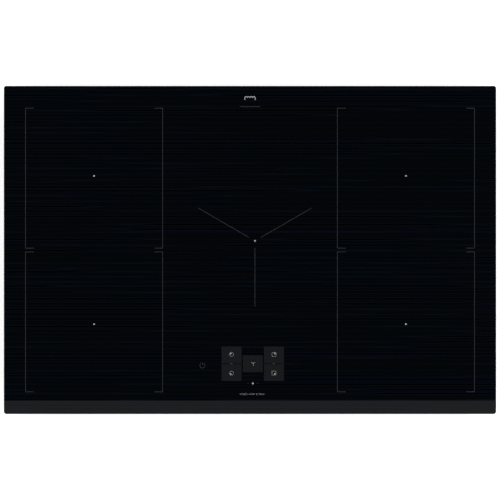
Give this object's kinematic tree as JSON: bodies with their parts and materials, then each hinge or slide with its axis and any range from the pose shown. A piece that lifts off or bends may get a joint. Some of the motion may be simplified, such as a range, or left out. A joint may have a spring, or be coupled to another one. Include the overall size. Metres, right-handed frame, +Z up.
{
  "type": "built-in induction hob",
  "caption": "Frameless built-in induction hob: bevelled black glass-ceramic top on a shallow steel casing with coils, power boards, radial fans and a terminal flap.",
  "frame": {"origin": "middle of the hob on the underside of its casing", "axes": "+X right, +Y to the back, +Z up; the bevelled front edge faces -Y"},
  "size_m": [0.78, 0.52, 0.0502],
  "materials": {
    "black_epoxy": "moulded epoxy",
    "black_glass_ceramic": "polished black glass ceramic",
    "black_nylon": "black glass-filled nylon, fine grain",
    "black_painted_steel": "black powder-coated steel",
    "brass_screw": "turned brass",
    "capacitor_case": "moulded polyester case",
    "circuit_board": "glass-epoxy laminate, green mask",
    "deck_aluminium": "mill-finish sheet",
    "decor_enamel": "thin grey screen-printed enamel",
    "display_case": "display module housing",
    "enamelled_copper": "enamelled copper wire",
    "extruded_aluminium": "extruded, unfinished",
    "fan_plastic": "black moulded polyester",
    "ferrite": "sintered ferrite",
    "foam_seal": "closed-cell foam strip",
    "former_laminate": "glass-fibre laminate",
    "galvanised_steel": "galvanised sheet steel",
    "impeller_plastic": "dark grey moulded polyester",
    "key_enamel": "dark grey screen-printed enamel",
    "litz_copper": "stranded enamelled copper",
    "mica_laminate": "mica and glass-fibre sheet",
    "relay_case": "moulded relay cover",
    "sensor_ceramic": "glazed sensor body",
    "silicone": "cured silicone adhesive",
    "silicone_sleeve": "silicone and glass-fibre sleeve",
    "spring_steel": "stainless spring strip",
    "suppressor_case": "moulded polyester case",
    "symbol_enamel": "light grey screen-printed enamel",
    "terminal_nylon": "natural nylon",
    "white_nylon": "natural nylon",
    "zinc_plated_steel": "zinc-plated steel"
  },
  "bodies": {
    "casing": {"adhesive_bead": "silicone", "board_insulators": "mica_laminate", "board_standoffs": "white_nylon", "bottom_tray": "galvanised_steel", "bridge_rectifiers": "black_epoxy", "cable_gland": "black_nylon", "casing_screws": "zinc_plated_steel", "centre_coil": "litz_copper", "choke_cores": "ferrite", "choke_windings": "enamelled_copper", "clip_holders": "zinc_plated_steel", "coil_deck_centre": "deck_aluminium", "coil_deck_left": "deck_aluminium", "coil_deck_right": "deck_aluminium", "coil_formers": "former_laminate", "coil_leads": "silicone_sleeve", "corner_coils": "litz_copper", "dc_link_capacitors": "capacitor_case", "deck_posts": "white_nylon", "fan_bushes": "brass_screw", "fan_covers": "fan_plastic", "fan_housings": "fan_plastic", "fan_stators": "enamelled_copper", "ferrite_bars": "ferrite", "filter_board": "circuit_board", "filter_capacitors": "suppressor_case", "frame_rail_front": "black_painted_steel", "frame_rail_left": "black_painted_steel", "frame_rail_rear": "black_painted_steel", "frame_rail_right": "black_painted_steel", "glass_ceramic_panel": "black_glass_ceramic", "heatsink_left": "extruded_aluminium", "heatsink_right": "extruded_aluminium", "key_fields": "key_enamel", "key_icons": "symbol_enamel", "mica_sheets": "mica_laminate", "power_board_left": "circuit_board", "power_board_right": "circuit_board", "power_transistors": "black_epoxy", "relays": "relay_case", "resonant_capacitors": "capacitor_case", "rim_seal": "foam_seal", "temperature_sensors": "sensor_ceramic", "terminal_block": "terminal_nylon", "terminal_box": "black_nylon", "terminal_screws": "brass_screw", "touch_springs": "zinc_plated_steel", "ui_board": "circuit_board", "ui_carrier": "black_nylon", "ui_displays": "display_case", "zone_markings": "decor_enamel"},
    "fan_left": {"fan_impeller_left": "impeller_plastic", "fan_shaft_left": "spring_steel"},
    "fan_right": {"fan_impeller_right": "impeller_plastic", "fan_shaft_right": "spring_steel"},
    "terminal_flap": {"terminal_cover": "black_nylon"},
    "clip_front_left": {"spring_clip_front_left": "spring_steel"},
    "clip_front_right": {"spring_clip_front_right": "spring_steel"},
    "clip_rear_left": {"spring_clip_rear_left": "spring_steel"},
    "clip_rear_right": {"spring_clip_rear_right": "spring_steel"}
  },
  "joints": [
    {"name": "fan_left_spin", "type": "hinge", "parent": "casing", "child": "fan_left", "pos_m": [-0.2967, 0.1647, 0.015], "axis": [0, 0, 1], "continuous": true},
    {"name": "fan_right_spin", "type": "hinge", "parent": "casing", "child": "fan_right", "pos_m": [0.2967, 0.1647, 0.015], "axis": [0, 0, 1], "continuous": true},
    {"name": "terminal_cover_hinge", "type": "hinge", "parent": "casing", "child": "terminal_flap", "pos_m": [0, 0.2374, 0.0081], "axis": [-1, 0, 0], "range_deg": [0, 90]},
    {"name": "clip_front_left_flex", "type": "hinge", "parent": "casing", "child": "clip_front_left", "pos_m": [-0.3707, -0.13, 0.026], "axis": [0, -1, 0], "range_deg": [0, 8], "stiffness_Nm_per_rad": 0.5},
    {"name": "clip_front_right_flex", "type": "hinge", "parent": "casing", "child": "clip_front_right", "pos_m": [0.3707, -0.13, 0.026], "axis": [0, 1, 0], "range_deg": [0, 8], "stiffness_Nm_per_rad": 0.5},
    {"name": "clip_rear_left_flex", "type": "hinge", "parent": "casing", "child": "clip_rear_left", "pos_m": [-0.3707, 0.13, 0.026], "axis": [0, -1, 0], "range_deg": [0, 8], "stiffness_Nm_per_rad": 0.5},
    {"name": "clip_rear_right_flex", "type": "hinge", "parent": "casing", "child": "clip_rear_right", "pos_m": [0.3707, 0.13, 0.026], "axis": [0, 1, 0], "range_deg": [0, 8], "stiffness_Nm_per_rad": 0.5}
  ]
}
